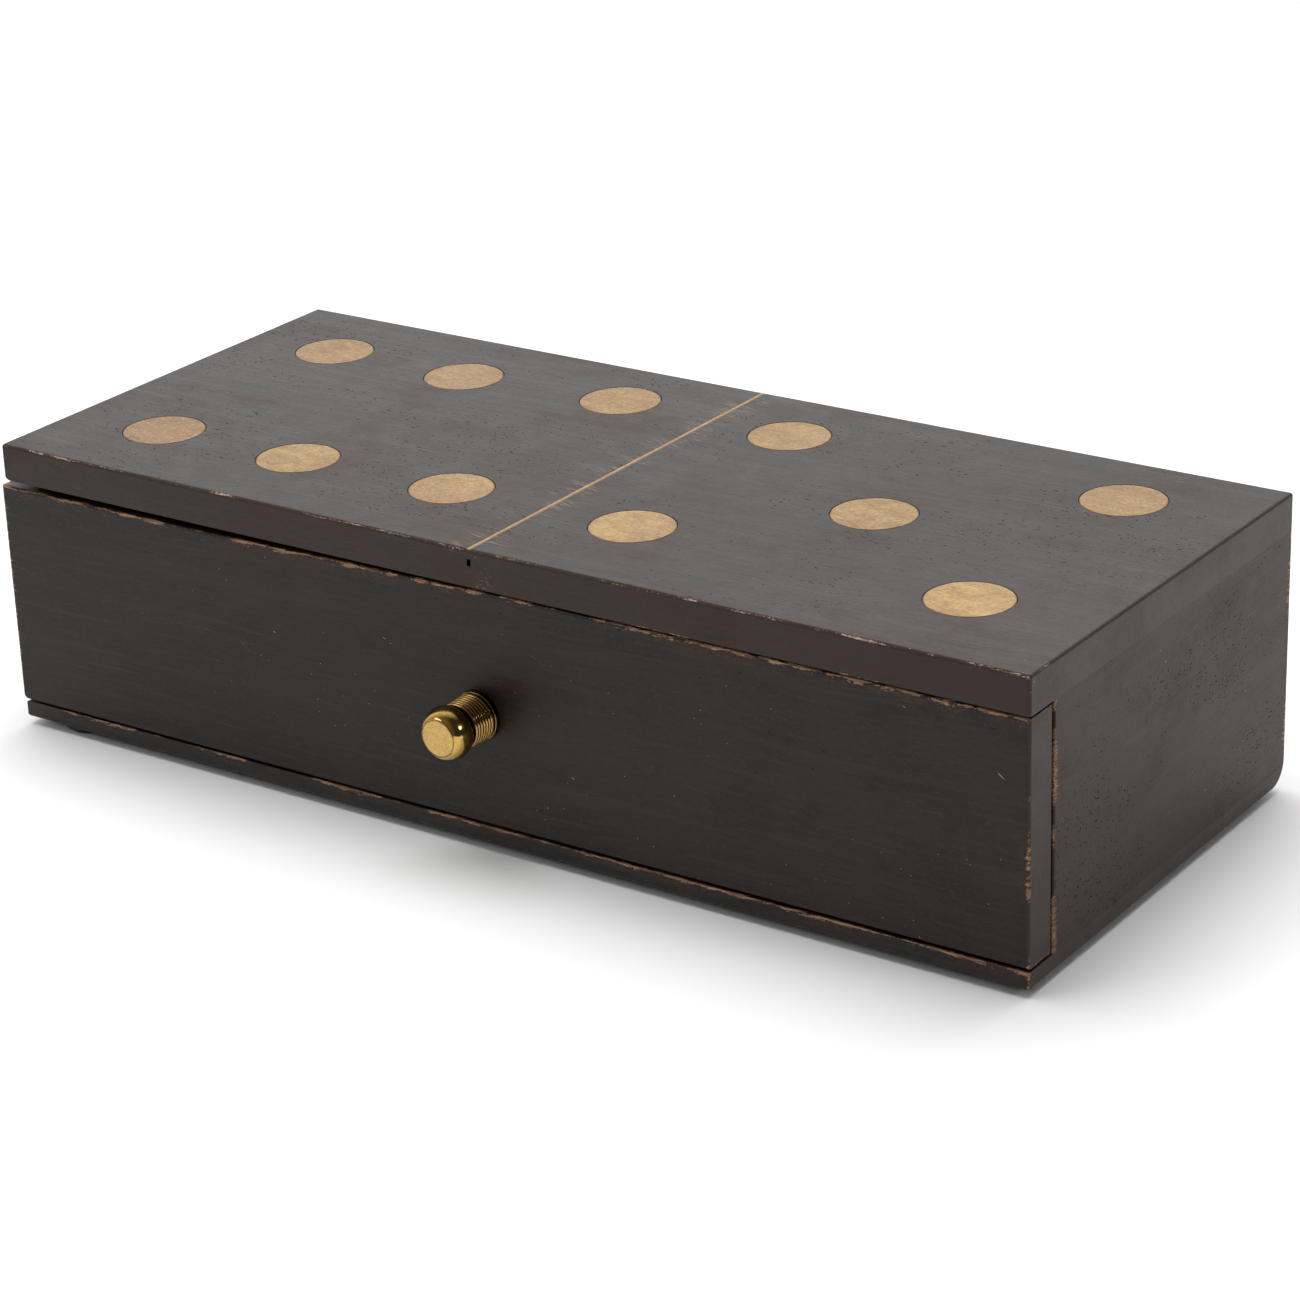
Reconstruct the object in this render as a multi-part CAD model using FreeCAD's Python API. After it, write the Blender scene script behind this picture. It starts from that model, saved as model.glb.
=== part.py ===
"""Wooden drawer box in the shape of a six-five domino, holding a double-six set of dominoes.

Millimetres, +Z up. X runs along the box, -Y is the drawer's side, and Z = 0 is the surface that
the feet stand on. The origin is the centre of the whole footprint, knob included.
"""
import FreeCAD, Part
import math
import os

from FreeCAD import Rotation, Vector

os.makedirs("parts", exist_ok=True)

# ---- Driving dimensions ---------------------------------------------------------------------

# Case
case_length = 280.0
case_depth = 120.0
case_height = 71.0
top_thickness = 9.0
bottom_thickness = 4.2
side_thickness = 9.0
back_thickness = 8.0
arris_radius = 0.8
end_arris_radius = 0.72       # around the case's two ends
side_front_arris_radius = 0.48
heel_radius = 6.0             # back bottom edge, rounded much more than the others
worn_corner_radius = 1.9      # the top board's lower left corner, over the drawer front's end
bottom_overhang_left = 0.6    # the bottom board stands out a little past the left side board
bottom_corner_radius = 0.6    # its front left corner, in plan
bottom_end_low_radius = 1.7   # its left end is worn round, below and above
bottom_end_high_radius = 1.1

# Feet
foot_height = 2.0
foot_radius = 6.8
foot_edge_radius = 1.4
foot_from_ends = 13.7
foot_from_edges = 12.5
foot_front_left_setback = 8.0

# Knob: reach is from the drawer front's face to the tip
knob_reach = 15.2
knob_height = 31.5            # axis above the case's underside
knob_base_radius = 6.0
knob_ring_width = 1.5         # plain ring against the drawer front
knob_ring_round = 0.3
knob_groove_width = 0.3       # between the ring and the barrel
knob_groove_depth = 0.7
knob_barrel_inset = 0.38      # from the ring's radius down to the barrel's first valley
knob_bead_count = 7
knob_bead_pitch = 0.87
knob_bead_depth = 0.28
knob_bead_taper = 0.05        # each bead is that much smaller than the one before
knob_neck_radius = 4.4
knob_neck_width = 0.75
knob_neck_bevel = 0.1
knob_head_radius = 6.3
knob_head_widest = 11.1       # reach at which the head is widest
knob_face_radius = 4.25
knob_face_sink = 0.1
knob_rim_width = 0.15
knob_rim_height = 0.12
knob_rim_crest = 0.06         # from the face's edge to the top of the rim
knob_head_flare = 0.3         # from the neck out to the back of the head
knob_head_shoulder = 0.42     # last point of the dome, in from the rim and back from the tip
knob_bore_radius = 2.0
knob_bore_depth = 8.0

# The head's outline from its back to its dome: in from the widest radius, and past that place
knob_head_outline = [(0.45, -1.35), (0.04, -0.45), (0.06, 0.55), (0.34, 1.75), (0.88, 3.0)]

# Knob screw and washer
screw_radius = 1.95
screw_length = 16.0
screw_head_radius = 3.8
screw_head_height = 2.4
screw_head_straight = 0.84    # height of the head's straight side
screw_head_shoulder = (2.736, 2.04)  # radius and height where its top is roundest
screw_slot_width = 1.0
screw_slot_depth = 1.1
screw_hole_radius = 2.2
washer_radius = 5.0
washer_thickness = 0.8

# Drawer
drawer_front_thickness = 9.0
drawer_front_overhang = 1.2   # past the case's left end
drawer_gap_top = 0.5
drawer_gap_bottom = 0.75
drawer_gap_bottom_left = 0.35  # the front hangs a little lower at its left end
drawer_planed_depth = 1.15    # its top edge is planed lower on the left
drawer_planed_from_x = 10.0
drawer_planed_to_x = -80.0
drawer_gap_behind_front = 1.3
drawer_edge_radius = 0.7
drawer_board_edge_radius = 1.0
drawer_low_corner_radius = 1.3
drawer_side_thickness = 7.0
drawer_side_height = 50.0
drawer_side_clearance = 0.75
drawer_under_clearance = 0.2
drawer_back_clearance = 0.3
drawer_dado_depth = 3.5
base_thickness = 3.5
base_groove_depth = 3.0
base_above_edge = 3.0

# Inlays of the top
disc_radius = 10.0
disc_thickness = 2.2
disc_pocket_radius = 10.12
disc_bevel = 0.15
strip_x = -0.5
strip_width = 1.05
strip_height = 2.3
strip_groove_width = 1.09
kerf_height = 1.7          # saw cut left open under the strip
strip_end_margin = 0.3     # the strip stops just inside the board's edges

# Disc centres (x, y) from the middle of the top: drilled by eye, so the rows wander a little
six_discs = {
    "pip_six_back_left": (-113.5, 34.0),
    "pip_six_back_middle": (-72.5, 34.0),
    "pip_six_back_right": (-28.0, 38.0),
    "pip_six_front_left": (-112.0, -33.0),
    "pip_six_front_middle": (-71.0, -32.5),
    "pip_six_front_right": (-27.0, -31.0),
}
five_discs = {
    "pip_five_back_left": (21.5, 36.5),
    "pip_five_back_right": (109.5, 37.0),
    "pip_five_centre": (65.5, 2.5),
    "pip_five_front_left": (23.0, -30.5),
    "pip_five_front_right": (109.0, -30.5),
}

# Loose dominoes in the drawer
tile_length = 60.0
tile_width = 30.0
tile_thickness = 10.2
tile_edge_radius = 1.2
tile_gap = 1.2
tile_setback = 5.5         # from the drawer front's inner face
tile_turn = 0.7            # degrees, how far a tile may lie askew
tile_turn_step = 2.4       # radians of a sine wave from tile to tile, so that no two lie alike
tile_shift = 0.8
tile_shift_step = 4.1
tile_layers = 4
tile_stacks = 7
highest_pip = 6
tile_pip_radius = 2.3
tile_pip_depth = 1.2
tile_pip_spacing = 7.4
tile_inlay_clearance = 0.05
tile_line_width = 0.8
tile_line_length = 25.0
tile_line_depth = 1.0

# ---- Positions that follow from them ----------------------------------------------------------

front_y = (knob_reach - case_depth) / 2
back_y = front_y + case_depth
middle_y = (front_y + back_y) / 2
left_x = -case_length / 2
right_x = case_length / 2
under_z = foot_height
floor_z = under_z + bottom_thickness
top_z = under_z + case_height
ceiling_z = top_z - top_thickness

drawer_inner_face_y = front_y + drawer_front_thickness
side_front_y = drawer_inner_face_y + drawer_gap_behind_front
back_inner_y = back_y - back_thickness
drawer_end_y = back_inner_y - drawer_back_clearance
drawer_half_width = case_length / 2 - side_thickness - drawer_side_clearance
drawer_inner_half_width = drawer_half_width - drawer_side_thickness
drawer_low_z = floor_z + drawer_under_clearance
base_low_z = drawer_low_z + base_above_edge
base_top_z = base_low_z + base_thickness
knob_z = under_z + knob_height

axis_x = Vector(1, 0, 0)
axis_y = Vector(0, 1, 0)
axis_z = Vector(0, 0, 1)


# ---- Small helpers ----------------------------------------------------------------------------

def block(x, y, z):
    """Box between the low and high value given for each direction."""
    return Part.makeBox(x[1] - x[0], y[1] - y[0], z[1] - z[0], Vector(x[0], y[0], z[0]))


def line(start, end):
    return Part.LineSegment(Vector(*start), Vector(*end)).toShape()


def arc(start, middle, end):
    return Part.Arc(Vector(*start), Vector(*middle), Vector(*end)).toShape()


def rounded_edges(shape, radius, chosen):
    """Round the edges for which chosen(edge's bounding box) is true."""
    edges = [edge for edge in shape.Edges if chosen(edge.BoundBox)]
    return shape.makeFillet(radius, edges)


def near(value, target, within=0.01):
    return abs(value - target) < within


def save(name, solids):
    """Write one node: a single solid, or a group of separate ones."""
    solids = solids if isinstance(solids, list) else [solids]
    single = []
    for shape in solids:
        single.extend(shape.Solids)
    for solid in single:
        if not solid.isValid() or not solid.isClosed():
            raise ValueError(name + " holds a bad solid")
    node = single[0] if len(single) == 1 else Part.makeCompound(single)
    node.exportStep("parts/" + name + ".step")
    print(name, len(single), round(sum(solid.Volume for solid in single), 1))


# ---- Case -------------------------------------------------------------------------------------

def case_outline():
    """Solid that the whole case is sanded to: small arrises, and a large round at the back heel."""
    r = arris_radius
    k = 1 - math.sqrt(0.5)
    h = heel_radius
    y0, y1, z0, z1 = front_y, back_y, under_z, top_z
    x = left_x
    edges = [
        line((x, y0 + r, z0), (x, y1 - h, z0)),
        arc((x, y1 - h, z0), (x, y1 - h * k, z0 + h * k), (x, y1, z0 + h)),
        line((x, y1, z0 + h), (x, y1, z1 - r)),
        arc((x, y1, z1 - r), (x, y1 - r * k, z1 - r * k), (x, y1 - r, z1)),
        line((x, y1 - r, z1), (x, y0 + r, z1)),
        arc((x, y0 + r, z1), (x, y0 + r * k, z1 - r * k), (x, y0, z1 - r)),
        line((x, y0, z1 - r), (x, y0, z0 + r)),
        arc((x, y0, z0 + r), (x, y0 + r * k, z0 + r * k), (x, y0 + r, z0)),
    ]
    body = Part.Face(Part.Wire(edges)).extrude(axis_x * case_length)

    def at_an_end(box):
        return near(box.XMin, box.XMax) and near(abs(box.XMin), case_length / 2)

    return rounded_edges(body, end_arris_radius, at_an_end)


def disc_places():
    """Name and centre of every disc, in the frame of the part."""
    places = {}
    for group in (six_discs, five_discs):
        for name, (x, y) in group.items():
            places[name] = (x, y + middle_y)
    return places


def top_board(outline):
    board = block((left_x, right_x), (front_y, back_y), (ceiling_z, top_z)).common(outline)
    board = board.cut(worn_edge(left_x, ceiling_z, worn_corner_radius, 1, side_front_y - front_y + 1))
    for x, y in disc_places().values():
        pocket_z = top_z - disc_thickness
        board = board.cut(Part.makeCylinder(disc_pocket_radius, top_thickness, Vector(x, y, pocket_z)))
    half = strip_groove_width / 2
    groove_z = top_z - strip_height
    groove = block((strip_x - half, strip_x + half),
                   (front_y + strip_end_margin, back_y - strip_end_margin),
                   (groove_z, top_z + 1))
    kerf = block((strip_x - half, strip_x + half),
                 (front_y - 1, back_y + 1),
                 (groove_z - kerf_height, groove_z))
    return board.cut(groove).cut(kerf)


def worn_edge(x, z, radius, inward, length):
    """What is worn off along a board's left end, from the front backwards.

    The edge runs through (x, z); inward is 1 where the wood lies above it and -1 where it lies below.
    """
    k = (1 - math.sqrt(0.5)) * radius
    y = front_y - 1
    high = z + inward * radius
    low = z - inward
    edges = [
        arc((x + radius, y, z), (x + k, y, z + inward * k), (x, y, high)),
        line((x, y, high), (x - 1, y, high)),
        line((x - 1, y, high), (x - 1, y, low)),
        line((x - 1, y, low), (x + radius, y, low)),
        line((x + radius, y, low), (x + radius, y, z)),
    ]
    return Part.Face(Part.Wire(edges)).extrude(axis_y * length)


def bottom_board(outline):
    """Bottom board: its left end stands out a little and is worn round."""
    end_x = left_x - bottom_overhang_left
    board = block((end_x, right_x), (front_y, back_y), (under_z, floor_z))

    def left_corner(box):
        return near(box.XMax, end_x) and near(box.YMax, front_y)

    board = rounded_edges(board, bottom_corner_radius, left_corner)
    shifted = outline.copy()
    shifted.translate(Vector(-bottom_overhang_left, 0, 0))
    board = board.common(outline.fuse(shifted))
    board = board.cut(worn_edge(end_x, under_z, bottom_end_low_radius, 1, case_depth + 2))
    board = board.cut(worn_edge(end_x, floor_z, bottom_end_high_radius, -1, case_depth + 2))
    return board.removeSplitter()


def side_board(outline, side):
    """Side board: side is -1 for the left one, 1 for the right one."""
    outer = side * case_length / 2
    inner = outer - side * side_thickness
    board = block((min(outer, inner), max(outer, inner)), (side_front_y, back_y), (floor_z, ceiling_z))
    board = board.common(outline)

    def front_arris(box):
        return near(box.YMin, side_front_y) and near(box.YMax, side_front_y) and box.ZLength > 1 \
            and near(box.XMin, outer) and near(box.XMax, outer)

    return rounded_edges(board, side_front_arris_radius, front_arris)


def back_board(outline):
    half = case_length / 2 - side_thickness
    return block((-half, half), (back_inner_y, back_y), (floor_z, ceiling_z)).common(outline)


def divider_strip(outline):
    """Strip let into the top board and sanded down with it, over the arrises too."""
    half = strip_width / 2
    strip = block((strip_x - half, strip_x + half),
                  (front_y + strip_end_margin, back_y - strip_end_margin),
                  (top_z - strip_height, top_z))
    return strip.common(outline)


def disc(x, y):
    body = Part.makeCylinder(disc_radius, disc_thickness, Vector(x, y, top_z - disc_thickness))

    def top_rim(box):
        return near(box.ZMin, top_z) and near(box.ZMax, top_z)

    rim = [edge for edge in body.Edges if top_rim(edge.BoundBox)]
    return body.makeChamfer(disc_bevel, rim)


def foot(x, y):
    body = Part.makeCylinder(foot_radius, foot_height, Vector(x, y, 0))

    def lower_rim(box):
        return near(box.ZMin, 0) and near(box.ZMax, 0)

    return rounded_edges(body, foot_edge_radius, lower_rim)


def feet_places():
    inner_right = right_x - foot_from_ends
    inner_left = left_x + foot_from_ends
    return {
        "foot_front_left": (inner_left, front_y + foot_front_left_setback),
        "foot_front_right": (inner_right, front_y + foot_from_edges),
        "foot_back_left": (inner_left, back_y - foot_from_edges),
        "foot_back_right": (inner_right, back_y - foot_from_edges),
    }


# ---- Drawer -----------------------------------------------------------------------------------

def drawer_front():
    """Drawer front, not quite square: lower on the left, both at its bottom and at its top edge."""
    x0 = left_x - drawer_front_overhang
    z0 = floor_z + drawer_gap_bottom_left
    z1 = ceiling_z - drawer_gap_top
    corners = [
        (x0, z0),
        (right_x, floor_z + drawer_gap_bottom),
        (right_x, z1),
        (drawer_planed_from_x, z1),
        (drawer_planed_to_x, z1 - drawer_planed_depth),
        (x0, z1 - drawer_planed_depth),
        (x0, z0),
    ]
    face = Part.Face(Part.makePolygon([Vector(x, front_y, z) for x, z in corners]))
    board = face.extrude(axis_y * drawer_front_thickness)

    def low_left(box):
        return near(box.XMin, x0) and near(box.XMax, x0) and near(box.ZMax, z0)

    board = rounded_edges(board, drawer_low_corner_radius, low_left)

    def on_the_face(box):
        return near(box.YMin, front_y) and near(box.YMax, front_y)

    board = rounded_edges(board, drawer_edge_radius, on_the_face)
    for side in (-1, 1):
        board = board.cut(drawer_side_blank(side))
    board = board.cut(base_blank())
    hole = Part.makeCylinder(screw_hole_radius, drawer_front_thickness + 2,
                             Vector(0, front_y - 1, knob_z), axis_y)
    return board.cut(hole)


def drawer_side_blank(side):
    outer = side * drawer_half_width
    inner = outer - side * drawer_side_thickness
    return block((min(outer, inner), max(outer, inner)),
                 (drawer_inner_face_y - drawer_dado_depth, drawer_end_y),
                 (drawer_low_z, drawer_low_z + drawer_side_height))


def base_blank():
    half = drawer_inner_half_width + base_groove_depth
    return block((-half, half),
                 (drawer_inner_face_y - base_groove_depth, drawer_end_y - base_groove_depth),
                 (base_low_z, base_top_z))


def drawer_side(side):
    board = drawer_side_blank(side)
    upper_z = drawer_low_z + drawer_side_height

    def upper_edge(box):
        return near(box.ZMin, upper_z) and near(box.ZMax, upper_z) and box.YLength > box.XLength

    return rounded_edges(board, drawer_board_edge_radius, upper_edge).cut(base_blank())


def drawer_back():
    upper_z = drawer_low_z + drawer_side_height
    half = drawer_inner_half_width
    board = block((-half, half), (drawer_end_y - drawer_side_thickness, drawer_end_y),
                  (drawer_low_z, upper_z))

    def upper_edge(box):
        return near(box.ZMin, upper_z) and near(box.ZMax, upper_z) and box.XLength > box.YLength

    return rounded_edges(board, drawer_board_edge_radius, upper_edge).cut(base_blank())


def turned(edges, y, direction):
    """Turn an outline given as (radius, distance) edges about the knob's axis."""
    solid = Part.Face(Part.Wire(edges)).revolve(Vector(0, 0, 0), axis_y, 360)
    if direction < 0:
        solid.rotate(Vector(0, 0, 0), axis_x, 180)
    solid.translate(Vector(0, y, knob_z))
    return solid


def rounded_ring(radius, start, end, soft):
    """Outline of a plain ring whose two outer corners are rounded."""
    k = (1 - math.sqrt(0.5)) * soft
    return [
        arc((radius - soft, start, 0), (radius - k, start + k, 0), (radius, start + soft, 0)),
        line((radius, start + soft, 0), (radius, end - soft, 0)),
        arc((radius, end - soft, 0), (radius - k, end - k, 0), (radius - soft, end, 0)),
    ]


def knob_bore():
    """Outline of the tapped hole, from its blind end out to the base ring's corner."""
    r = knob_bore_radius
    corner = knob_base_radius - knob_ring_round
    return [
        line((0, knob_bore_depth, 0), (r, knob_bore_depth, 0)),
        line((r, knob_bore_depth, 0), (r, 0, 0)),
        line((r, 0, 0), (corner, 0, 0)),
    ]


def knob_barrel(start):
    """Outline of the beads, from start to the neck, and the point where they end."""
    valley = knob_base_radius - knob_barrel_inset
    edges = []
    for bead in range(knob_bead_count):
        end = start + knob_bead_pitch
        next_valley = valley - knob_bead_taper
        crest = (valley + next_valley) / 2 + knob_bead_depth
        edges.append(arc((valley, start, 0), (crest, (start + end) / 2, 0), (next_valley, end, 0)))
        start, valley = end, next_valley
    return edges, (valley, start)


def knob_head(start):
    """Outline of the head: a short back, its widest part, and a dome down to the face's rim."""
    neck = knob_neck_radius
    face = knob_face_radius
    rim = face + knob_rim_width
    crest = face + knob_rim_crest
    sunk = knob_reach - knob_face_sink
    rim_foot = knob_reach - knob_rim_height
    shoulder = knob_head_shoulder

    points = [Vector(neck + knob_head_flare, start, 0)]
    for inward, onward in knob_head_outline:
        points.append(Vector(knob_head_radius - inward, knob_head_widest + onward, 0))
    points.append(Vector(rim + shoulder, knob_reach - shoulder, 0))
    points.append(Vector(rim, rim_foot, 0))
    curve = Part.BSplineCurve()
    curve.interpolate(points)
    return [
        line((neck, start - knob_neck_bevel, 0), tuple(points[0])),
        curve.toShape(),
        line((rim, rim_foot, 0), (crest, knob_reach, 0)),
        line((crest, knob_reach, 0), (face, sunk, 0)),
        line((face, sunk, 0), (0, sunk, 0)),
        line((0, sunk, 0), (0, knob_bore_depth, 0)),
    ]


def knob():
    """Turned knob: base ring, a barrel of fine beads, a narrow neck and a ball-like head.

    The head's front is cut off flat and sunk a little within its rim.
    """
    base = knob_base_radius
    ring = knob_ring_width
    groove = base - knob_groove_depth
    groove_end = ring + knob_groove_width
    beads_start = groove_end + knob_neck_bevel
    beads, (valley, beads_end) = knob_barrel(beads_start)
    barrel_end = beads_end + knob_neck_bevel
    neck = knob_neck_radius
    neck_start = barrel_end + knob_neck_bevel
    head_start = barrel_end + knob_neck_width

    edges = knob_bore() + rounded_ring(base, 0, ring, knob_ring_round)
    edges += [
        line((base - knob_ring_round, ring, 0), (groove, ring, 0)),
        line((groove, ring, 0), (groove, groove_end, 0)),
        line((groove, groove_end, 0), (base - knob_barrel_inset, beads_start, 0)),
    ]
    edges += beads
    edges += [
        line((valley, beads_end, 0), (valley, barrel_end, 0)),
        line((valley, barrel_end, 0), (neck, neck_start, 0)),
        line((neck, neck_start, 0), (neck, head_start - knob_neck_bevel, 0)),
    ]
    return turned(edges + knob_head(head_start), front_y, -1)


def knob_washer():
    y = drawer_inner_face_y
    outer = Part.makeCylinder(washer_radius, washer_thickness, Vector(0, y, knob_z), axis_y)
    return outer.cut(Part.makeCylinder(screw_hole_radius, washer_thickness, Vector(0, y, knob_z), axis_y))


def knob_screw():
    """Pan-head machine screw, driven from inside the drawer."""
    head_y = drawer_inner_face_y + washer_thickness
    r = screw_head_radius
    h = screw_head_height
    side = screw_head_straight
    round_r, round_h = screw_head_shoulder
    edges = [
        line((0, -screw_length, 0), (screw_radius, -screw_length, 0)),
        line((screw_radius, -screw_length, 0), (screw_radius, 0, 0)),
        line((screw_radius, 0, 0), (r, 0, 0)),
        line((r, 0, 0), (r, side, 0)),
        arc((r, side, 0), (round_r, round_h, 0), (0, h, 0)),
        line((0, h, 0), (0, -screw_length, 0)),
    ]
    screw = turned(edges, head_y, 1)
    slot = block((-r, r), (head_y + h - screw_slot_depth, head_y + h + 1),
                 (knob_z - screw_slot_width / 2, knob_z + screw_slot_width / 2))
    return screw.cut(slot)


# ---- Loose dominoes ---------------------------------------------------------------------------

def pip_grid(count):
    """Places of a half tile's pips on a three by three grid, as (column, row) from its middle."""
    places = []
    if count % 2:
        places.append((0, 0))
    if count >= 2:
        places += [(-1, 1), (1, -1)]
    if count >= 4:
        places += [(-1, -1), (1, 1)]
    if count == 6:
        places += [(-1, 0), (1, 0)]
    return places


def tile_pips(values, radius, depth):
    """Cylinders for the pips of one tile that lies flat with its middle at the origin."""
    pips = []
    for half, count in zip((-1, 1), values):
        for column, row in pip_grid(count):
            place = Vector(column * tile_pip_spacing,
                           half * tile_length / 4 + row * tile_pip_spacing,
                           tile_thickness - depth)
            pips.append(Part.makeCylinder(radius, depth, place))
    return pips


def tile_line(clearance, depth):
    half_length = tile_line_length / 2 - clearance
    half_width = tile_line_width / 2 - clearance
    return block((-half_length, half_length), (-half_width, half_width),
                 (tile_thickness - depth, tile_thickness))


def tile(values):
    body = block((-tile_width / 2, tile_width / 2), (-tile_length / 2, tile_length / 2),
                 (0, tile_thickness))
    body = body.makeFillet(tile_edge_radius, body.Edges)
    for pocket in tile_pips(values, tile_pip_radius, tile_pip_depth):
        body = body.cut(pocket)
    return body.cut(tile_line(0, tile_line_depth))


def tile_placement(index):
    """Where one tile lies: seven stacks from the left, filled one layer at a time."""
    stack = index % tile_stacks
    layer = index // tile_stacks
    x = -drawer_inner_half_width + tile_gap + tile_width / 2 + stack * (tile_width + tile_gap)
    y = drawer_inner_face_y + tile_setback + tile_length / 2
    askew = math.sin(tile_turn_step * index + 1)
    shift = tile_shift * math.sin(tile_shift_step * index)
    place = Vector(x, y + shift, base_top_z + layer * tile_thickness)
    return FreeCAD.Placement(place, Rotation(axis_z, tile_turn * askew))


def placed(shape, placement):
    moved = shape.copy()
    moved.Placement = placement
    return moved


def save_dominoes():
    """The double-six set: every pair of values once, low values at the bottom of the stacks."""
    pips = []
    lines = []
    index = 0
    for low in range(highest_pip + 1):
        for high in range(low, highest_pip + 1):
            placement = tile_placement(index)
            save("domino_%d_%d" % (low, high), placed(tile((low, high)), placement))
            radius = tile_pip_radius - tile_inlay_clearance
            for pip in tile_pips((low, high), radius, tile_pip_depth):
                pips.append(placed(Part.makeCompound([pip]), placement))
            line_inlay = Part.makeCompound([tile_line(tile_inlay_clearance, tile_line_depth)])
            lines.append(placed(line_inlay, placement))
            index += 1
    save("domino_pips", pips)
    save("domino_centre_lines", lines)


# ---- Build and write --------------------------------------------------------------------------

outline = case_outline()
save("top_board", top_board(outline))
save("bottom_board", bottom_board(outline))
save("side_board_left", side_board(outline, -1))
save("side_board_right", side_board(outline, 1))
save("back_board", back_board(outline))
save("divider_strip", divider_strip(outline))
for name, (x, y) in disc_places().items():
    save(name, disc(x, y))
for name, (x, y) in feet_places().items():
    save(name, foot(x, y))

save("drawer_front", drawer_front())
save("drawer_side_left", drawer_side(-1))
save("drawer_side_right", drawer_side(1))
save("drawer_back", drawer_back())
save("drawer_base", base_blank())
save("knob", knob())
save("knob_washer", knob_washer())
save("knob_screw", knob_screw())
save_dominoes()
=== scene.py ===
"""Looks of the domino drawer box: materials, floor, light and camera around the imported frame."""
import math

import bpy
from mathutils import Matrix, Vector


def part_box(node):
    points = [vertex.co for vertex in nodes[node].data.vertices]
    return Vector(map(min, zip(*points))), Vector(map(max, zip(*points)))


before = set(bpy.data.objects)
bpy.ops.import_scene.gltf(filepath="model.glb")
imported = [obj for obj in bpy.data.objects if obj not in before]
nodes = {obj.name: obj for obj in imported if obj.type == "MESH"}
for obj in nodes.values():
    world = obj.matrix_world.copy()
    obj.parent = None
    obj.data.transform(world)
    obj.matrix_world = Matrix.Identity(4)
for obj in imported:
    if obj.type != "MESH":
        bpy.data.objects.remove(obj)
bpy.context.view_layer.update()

MM = 0.001

# The drawer front's top edge is planed lower towards its left end (mm, as in the part)
PLANED_DEPTH = 1.15
PLANED_FROM_X = 10.0
PLANED_TO_X = -80.0

# Where the knob's turned parts begin and end, in mm out from the drawer front; each is a soft
# change over that range
BASE_RING_END = (1.3, 1.7)
BARREL_START = (1.5, 1.9)
BARREL_END = (7.9, 8.3)
NECK_START = (7.9, 8.2)
NECK_END = (8.9, 9.4)
FACE_START = (14.95, 15.08)
# Radii over which the painted shadow line round the knob's face darkens
FACE_RIM_RADIUS = (3.95, 4.28)
BEAD_CREST_RADIUS = 5.90      # of the barrel's beads at the drawer front
BEAD_TAPER = 0.057            # how much smaller the beads get per mm outwards

# The camera: a long lens, low over the drawer's right-hand end
CAMERA_AZIMUTH = 35.24
CAMERA_ELEVATION = 22.83
CAMERA_ROLL = 2.06
CAMERA_PLACE = (480.5, -665.5, 375.2)
CAMERA_LENS = 105.5
SENSOR_WIDTH = 36.0

# The studio's walls: direction, cosines at which the light starts and is full, its two strengths
WALLS = (
    ((-0.60, 0.74, 0.32), 0.10, 0.92, 0.04, 1.36),
    ((-0.30, -0.85, 0.42), 0.35, 0.95, 0.0, 0.16),
)
FLOOR_HALF = 3.0              # metres


# ---- Node graph helper ------------------------------------------------------------------------

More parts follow.
